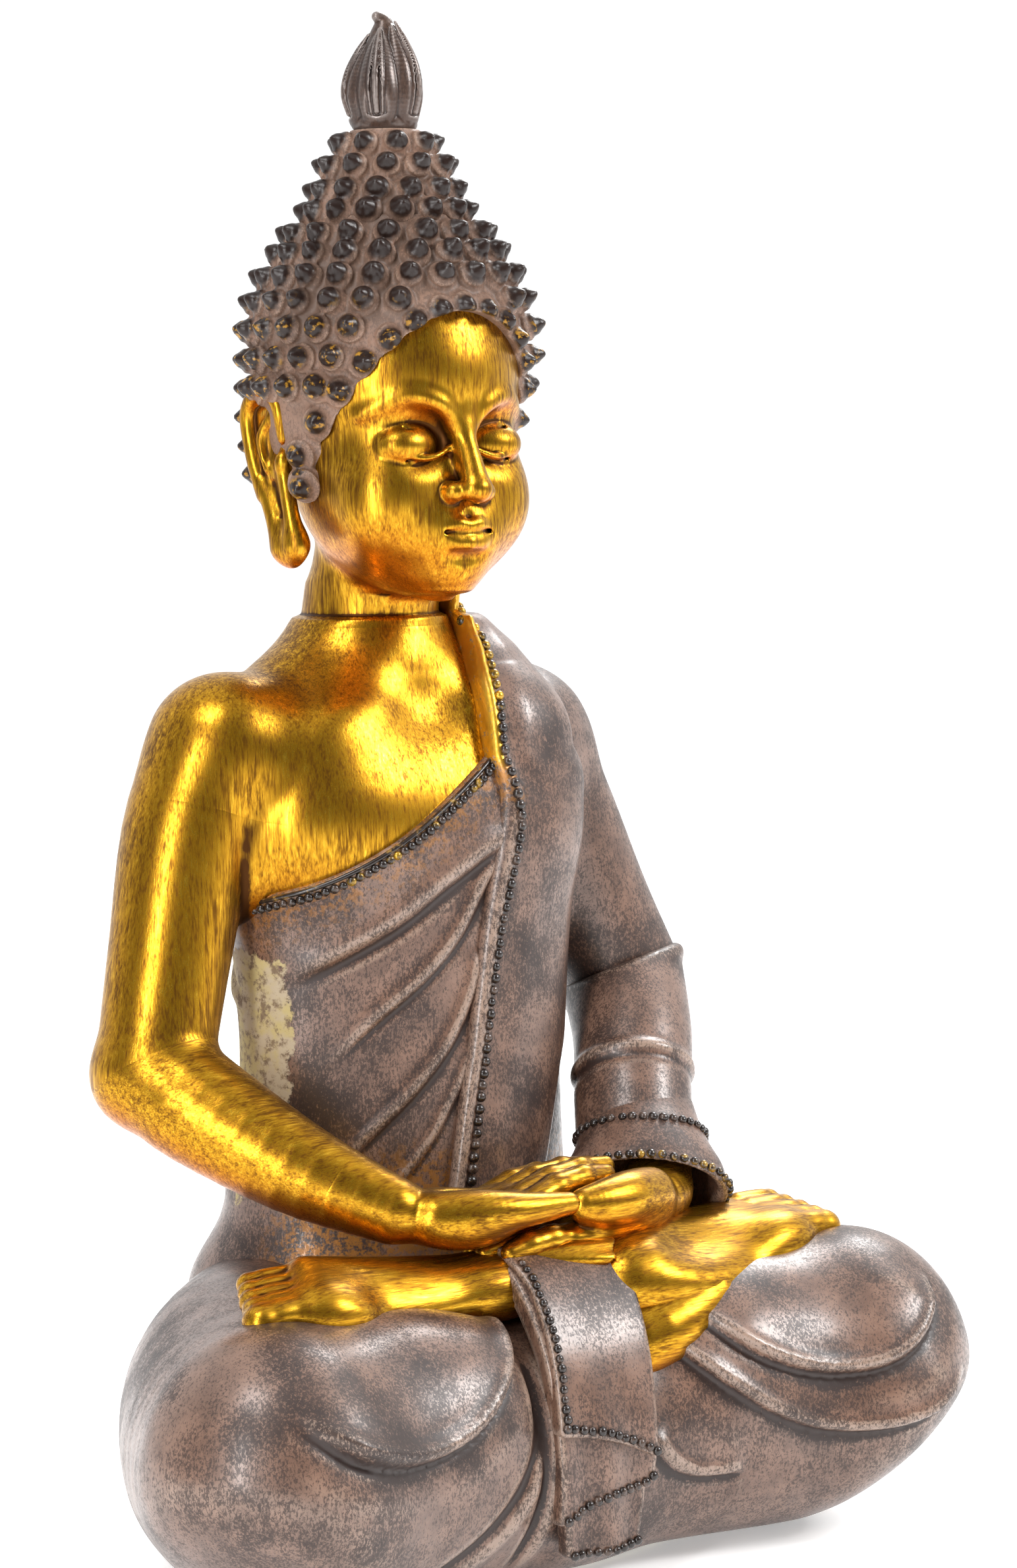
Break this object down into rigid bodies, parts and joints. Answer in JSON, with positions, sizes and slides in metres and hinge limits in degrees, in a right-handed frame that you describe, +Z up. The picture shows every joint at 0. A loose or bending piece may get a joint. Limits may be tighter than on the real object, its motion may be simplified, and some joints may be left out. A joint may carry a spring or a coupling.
{
  "type": "buddha statue",
  "caption": "Seated buddha statue in full lotus, hands in the lap in meditation, one shoulder bare, snail-curl hair and a flame finial; stands freely on a felt-faced underside.",
  "frame": {"origin": "on the surface the statue stands on, under the centre of the neck, at the middle line of the figure", "axes": "+Z up through the head to the flame's tip, the figure faces -Y, +X towards the figure's own left side"},
  "size_m": [0.185, 0.1212, 0.3],
  "materials": {
    "gold_paint": "brushed gold paint with a dark wash rubbed into the recesses, glossy",
    "robe_paint": "mauve-brown paint mottled with a black-brown wash, satin",
    "hair_paint": "taupe ground with dark glossy curl tips",
    "finial_paint": "pewter-brown paint, glossy",
    "bead_paint": "dark brown beads rubbed with gold",
    "pin_steel": "plain rod, unseen inside the bonded joints",
    "raw_resin": "unpainted cast resin",
    "felt": "black felt"
  },
  "bodies": {
    "root": {"finial_pin": "pin_steel", "neck_pin": "pin_steel", "right_arm_pin": "pin_steel", "left_arm_pin": "pin_steel", "flame_finial": "finial_paint", "topknot": "hair_paint", "hair_cap": "hair_paint", "head": "gold_paint", "right_ear": "gold_paint", "left_ear": "gold_paint", "urna_bead": "gold_paint", "chest": "gold_paint", "robe_wrap": "robe_paint", "sash": "robe_paint", "sash_beading": "bead_paint", "neckline_beading_front": "bead_paint", "neckline_beading_back": "bead_paint", "right_upper_arm": "gold_paint", "right_forearm": "gold_paint", "right_hand": "gold_paint", "left_hand": "gold_paint", "left_sleeve_upper": "robe_paint", "left_sleeve_lower": "robe_paint", "left_cuff": "robe_paint", "cuff_beading_upper": "bead_paint", "cuff_beading_lower": "bead_paint", "right_leg": "robe_paint", "left_leg": "robe_paint", "seat": "robe_paint", "right_foot": "gold_paint", "left_foot": "gold_paint", "right_shin": "gold_paint", "lap_cloth": "gold_paint", "drape_upper": "robe_paint", "drape_middle": "robe_paint", "drape_lower": "robe_paint", "drape_upper_beading": "bead_paint", "drape_middle_beading": "bead_paint", "drape_lower_beading": "bead_paint", "base_plate": "raw_resin", "felt_sheet": "felt"}
  },
  "joints": []
}
